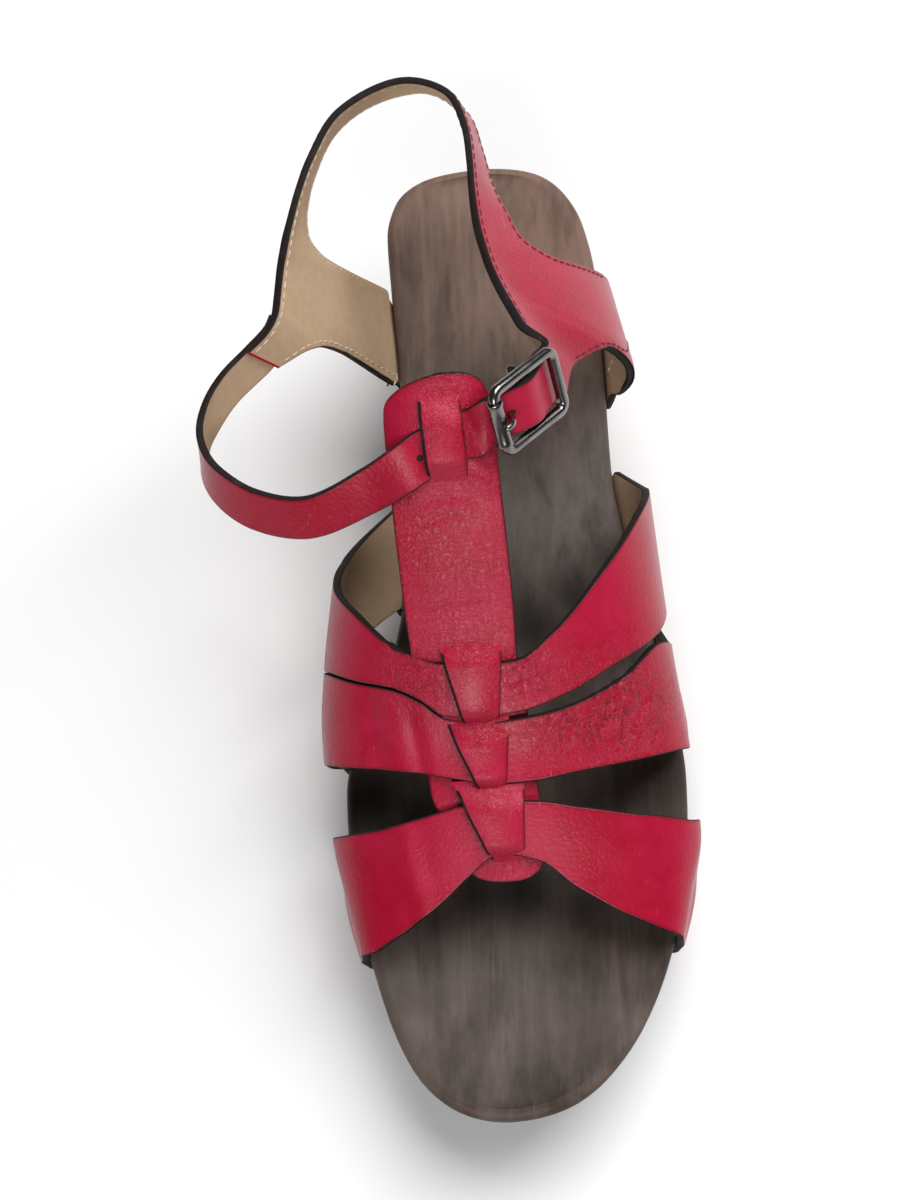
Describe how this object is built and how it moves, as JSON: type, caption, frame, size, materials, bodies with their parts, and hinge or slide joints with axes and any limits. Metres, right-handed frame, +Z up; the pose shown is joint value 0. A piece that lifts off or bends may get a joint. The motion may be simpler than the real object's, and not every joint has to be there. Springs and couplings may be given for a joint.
{
  "type": "platform sandal",
  "caption": "Left platform sandal: carved dark-stained wooden sole with a block heel, red leather T-strap threaded by cross straps, heel sling and a buckled ankle strap.",
  "frame": {"origin": "centre of the bounding box, on the floor under the sole", "axes": "+Z up, -Y towards the toe, +Y towards the heel, +X towards the outer side of the foot"},
  "size_m": [0.1262, 0.268, 0.131],
  "materials": {
    "stained_wood": "dark matte stain, worn at the edges",
    "red_leather": "smooth semi-gloss",
    "gunmetal": "dark polished"
  },
  "bodies": {
    "root": {"sole": "stained_wood", "upper": "red_leather", "heel_quarter": "red_leather", "ankle_strap": "red_leather", "buckle_frame": "gunmetal", "buckle_roller": "gunmetal", "buckle_prong": "gunmetal"}
  },
  "joints": []
}
